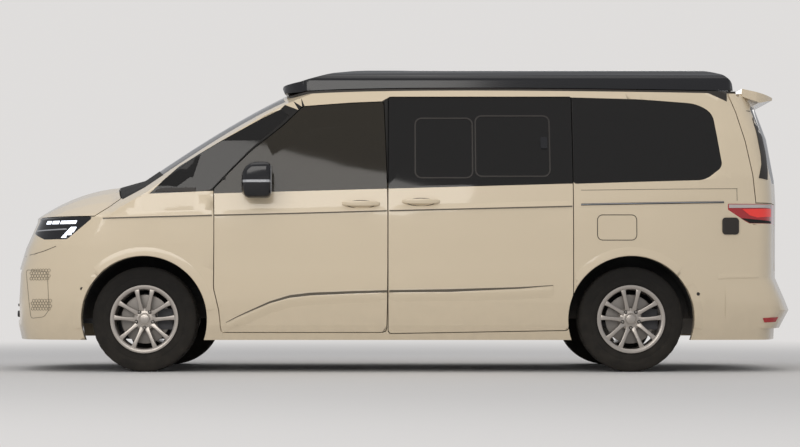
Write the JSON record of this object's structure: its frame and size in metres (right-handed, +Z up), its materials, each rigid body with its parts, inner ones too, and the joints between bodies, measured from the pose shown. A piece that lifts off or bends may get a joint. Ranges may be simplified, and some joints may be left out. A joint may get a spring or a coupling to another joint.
{
  "type": "camper van with lifting roof",
  "caption": "Full-size camper van with a rear-hinged lifting roof, hinged front doors, bonnet and tailgate, steered front wheels and a hollow furnished cabin.",
  "frame": {"origin": "on the ground under the middle of the body's box", "axes": "the van faces -X, its left side is at -Y, +Z is up"},
  "size_m": [5.1717, 2.304, 1.989],
  "materials": {
    "paint": "gloss cream paint",
    "frame_metal": "satin black paint",
    "dark_glass": "dark tinted",
    "clear_glass": "tinted",
    "lamp_clear": "clear lens",
    "lamp_red": "red lens",
    "black_gloss": "gloss black",
    "black_matte": "matt black",
    "brown_trim": "dark brown",
    "bellows_cloth": "woven tent cloth",
    "seat_cloth": "woven upholstery",
    "tyre": "matt rubber",
    "alloy": "silver paint",
    "axle_steel": "dark casting",
    "engine_metal": "bare casting",
    "steel": "bare steel",
    "cabinet": "light wood laminate",
    "dash_plastic": "grained black"
  },
  "bodies": {
    "root": {"body_side_left": "paint", "body_side_right": "paint", "roof_panel": "paint", "floor_pan": "frame_metal", "wheel_houses": "frame_metal", "front_bulkhead": "frame_metal", "cowl_panel": "black_matte", "windscreen": "clear_glass", "front_bumper": "paint", "grille": "black_matte", "headlamps": "lamp_clear", "tail_lamps": "lamp_red", "rear_bumper": "paint", "side_glass": "dark_glass", "roof_gutter": "brown_trim", "roof_bellows": "bellows_cloth", "front_subframe": "axle_steel", "rear_axle": "axle_steel", "engine_block": "engine_metal", "tank_and_silencer": "steel", "dashboard": "dash_plastic", "seats": "seat_cloth", "seat_bases": "black_matte", "kitchen_unit": "cabinet", "fender_left": "paint", "sliding_door_left": "paint", "fender_right": "paint", "sliding_door_right": "paint"},
    "bonnet": {"bonnet": "paint"},
    "tailgate": {"tailgate": "paint", "tailgate_glass": "dark_glass"},
    "pop_roof": {"pop_roof": "black_gloss"},
    "steering_wheel": {"steering_wheel": "dash_plastic"},
    "front_door_left": {"front_door_left": "paint", "front_door_glass_left": "dark_glass", "mirror_left": "black_gloss"},
    "knuckle_left": {"knuckle_left": "axle_steel"},
    "wheel_front_left": {"tyre_front_left": "tyre", "rim_front_left": "alloy"},
    "wheel_rear_left": {"tyre_rear_left": "tyre", "rim_rear_left": "alloy"},
    "front_door_right": {"front_door_right": "paint", "front_door_glass_right": "dark_glass", "mirror_right": "black_gloss"},
    "knuckle_right": {"knuckle_right": "axle_steel"},
    "wheel_front_right": {"tyre_front_right": "tyre", "rim_front_right": "alloy"},
    "wheel_rear_right": {"tyre_rear_right": "tyre", "rim_rear_right": "alloy"}
  },
  "joints": [
    {"name": "steer_left", "type": "hinge", "parent": "root", "child": "knuckle_left", "pos_m": [-1.6415, -0.734, 0.338], "axis": [0, 0, 1], "range_deg": [-34, 34]},
    {"name": "steer_right", "type": "hinge", "parent": "root", "child": "knuckle_right", "pos_m": [-1.6415, 0.734, 0.338], "axis": [0, 0, 1], "range_deg": [-34, 34]},
    {"name": "spin_front_left", "type": "hinge", "parent": "knuckle_left", "child": "wheel_front_left", "pos_m": [-1.6415, -0.806, 0.338], "axis": [0, 1, 0], "continuous": true},
    {"name": "spin_rear_left", "type": "hinge", "parent": "root", "child": "wheel_rear_left", "pos_m": [1.4825, -0.813, 0.338], "axis": [0, 1, 0], "continuous": true},
    {"name": "front_door_left_hinge", "type": "hinge", "parent": "root", "child": "front_door_left", "pos_m": [-1.12064, -0.9445, 0.75], "axis": [0, 0, -1], "range_deg": [0, 65]},
    {"name": "spin_front_right", "type": "hinge", "parent": "knuckle_right", "child": "wheel_front_right", "pos_m": [-1.6415, 0.806, 0.338], "axis": [0, 1, 0], "continuous": true},
    {"name": "spin_rear_right", "type": "hinge", "parent": "root", "child": "wheel_rear_right", "pos_m": [1.4825, 0.813, 0.338], "axis": [0, 1, 0], "continuous": true},
    {"name": "front_door_right_hinge", "type": "hinge", "parent": "root", "child": "front_door_right", "pos_m": [-1.12064, 0.9445, 0.75], "axis": [0, 0, 1], "range_deg": [0, 65]},
    {"name": "bonnet_hinge", "type": "hinge", "parent": "root", "child": "bonnet", "pos_m": [-1.7015, 0, 1.16415], "axis": [0, 1, 0], "range_deg": [0, 45]},
    {"name": "tailgate_hinge", "type": "hinge", "parent": "root", "child": "tailgate", "pos_m": [2.2277, 0, 1.812], "axis": [0, -1, 0], "range_deg": [0, 80]},
    {"name": "pop_roof_hinge", "type": "hinge", "parent": "root", "child": "pop_roof", "pos_m": [2.17695, 0, 1.8696], "axis": [0, 1, 0], "range_deg": [0, 20]},
    {"name": "steering_turn", "type": "hinge", "parent": "root", "child": "steering_wheel", "pos_m": [-1.0948, -0.41731, 0.995], "axis": [0.9063, 0, 0.4226], "range_deg": [-520, 520]}
  ],
  "couplings": [
    {"joint": "steer_right", "follows": "steer_left", "ratio": 1},
    {"joint": "steering_turn", "follows": "steer_left", "ratio": 15}
  ]
}
